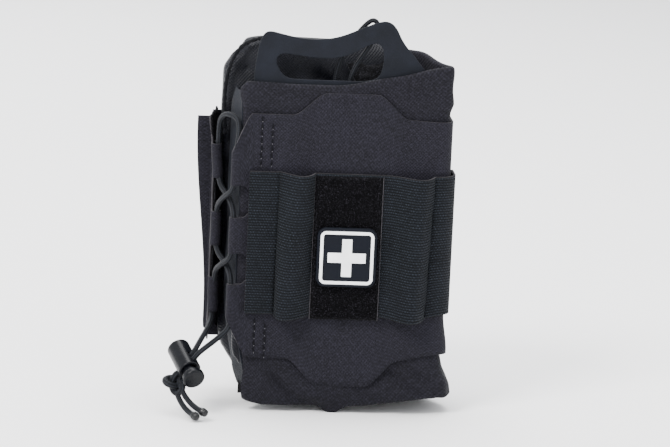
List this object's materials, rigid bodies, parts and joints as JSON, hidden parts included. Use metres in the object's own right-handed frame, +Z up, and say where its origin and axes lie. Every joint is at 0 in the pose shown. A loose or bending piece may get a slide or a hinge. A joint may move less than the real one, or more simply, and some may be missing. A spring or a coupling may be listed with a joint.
{
  "type": "pull-out first aid pouch",
  "caption": "Upright pull-out first aid pouch: laced laminate carrier with elastic front loops and cross patch, rolled fabric insert with pull handle, cord lock and back straps.",
  "frame": {"origin": "under the middle of the pouch, on the surface that the insert stands on", "axes": "+Z up, -Y the front face with the patch, -X the laced side, +Y the back with the mounting straps"},
  "size_m": [0.1543, 0.0961, 0.2203],
  "materials": {
    "laminate": "plain-weave laminated nylon, matt",
    "loop_lining": "loop pile, dull",
    "webbing": "woven nylon webbing",
    "snap_metal": "black enamel, satin",
    "elastic": "ribbed knitted elastic",
    "loop_pile": "loop pile, dull",
    "hook": "moulded hooks",
    "patch_dark": "soft moulded rubber, satin",
    "patch_white": "soft moulded rubber, white",
    "shock_cord": "woven sheath, slight sheen",
    "lock_plastic": "moulded acetal, satin",
    "spring_steel": "bright wire",
    "cover_fabric": "coarse plain-weave nylon",
    "roll_nylon": "fine nylon, slight sheen",
    "slate_laminate": "smooth laminate, matt",
    "stiff_sheet": "polyethylene sheet",
    "organiser": "ribbed elastic",
    "closure": "hook and loop tape"
  },
  "bodies": {
    "carrier": {"carrier_front_panel": "laminate", "carrier_back_panel": "laminate", "side_wing": "laminate", "wing_loop_lining": "loop_lining", "mount_panel": "laminate", "panel_spacer": "laminate", "strap_anchors": "webbing", "snap_studs": "snap_metal", "elastic_band": "elastic", "loop_field": "loop_pile", "lacing_cord": "shock_cord", "strand_side": "shock_cord", "strand_front": "shock_cord", "tail_side": "shock_cord", "tail_front": "shock_cord", "cord_knot": "shock_cord"},
    "patch": {"patch_hook_backing": "hook", "patch_base": "patch_dark", "patch_ring": "patch_white", "patch_cross": "patch_white"},
    "lock": {"lock_barrel": "lock_plastic", "lock_spring": "spring_steel"},
    "plunger": {"lock_plunger": "lock_plastic"},
    "insert": {"insert_front_cover": "cover_fabric", "insert_back_cover": "cover_fabric", "insert_fold_front": "cover_fabric", "insert_fold_middle": "cover_fabric", "insert_rear_roll": "roll_nylon", "insert_side_facing": "slate_laminate", "insert_stiffener": "stiff_sheet", "organiser_band_upper": "organiser", "organiser_band_lower": "organiser", "closure_hook_strip": "closure", "closure_loop_strip": "closure", "insert_lining_flap": "roll_nylon", "inner_shock_cord": "shock_cord", "handle_anchor": "slate_laminate"},
    "handle": {"pull_handle": "slate_laminate"},
    "strap_left": {"mount_strap_left": "webbing", "snap_cap_left": "snap_metal"},
    "strap_right": {"mount_strap_right": "webbing", "snap_cap_right": "snap_metal"}
  },
  "joints": [
    {"name": "insert_slide", "type": "slide", "parent": "carrier", "child": "insert", "axis": [0, 0, 1], "range_m": [0, 0.2]},
    {"name": "handle_fold", "type": "hinge", "parent": "insert", "child": "handle", "pos_m": [-0.041, -0.023, 0.187], "axis": [0.9926, 0, 0.1211], "range_deg": [0, 95]},
    {"name": "patch_peel", "type": "slide", "parent": "carrier", "child": "patch", "axis": [0, -1, 0], "range_m": [0, 0.05]},
    {"name": "lock_slide", "type": "slide", "parent": "carrier", "child": "lock", "axis": [0.4959, -0.2472, 0.8325], "range_m": [0, 0.012], "deforming": ["strand_side", "strand_front"]},
    {"name": "plunger_press", "type": "slide", "parent": "lock", "child": "plunger", "axis": [-0.3197, 0.8393, 0.4396], "range_m": [0, 0.003], "stiffness_N_per_m": 400, "springref_m": -0.003, "deforming": ["lock_spring"]},
    {"name": "strap_left_open", "type": "hinge", "parent": "carrier", "child": "strap_left", "pos_m": [0, 0.0356, 0.1464], "axis": [1, 0, 0], "range_deg": [0, 88]},
    {"name": "strap_right_open", "type": "hinge", "parent": "carrier", "child": "strap_right", "pos_m": [0, 0.0356, 0.1464], "axis": [1, 0, 0], "range_deg": [0, 88]}
  ]
}
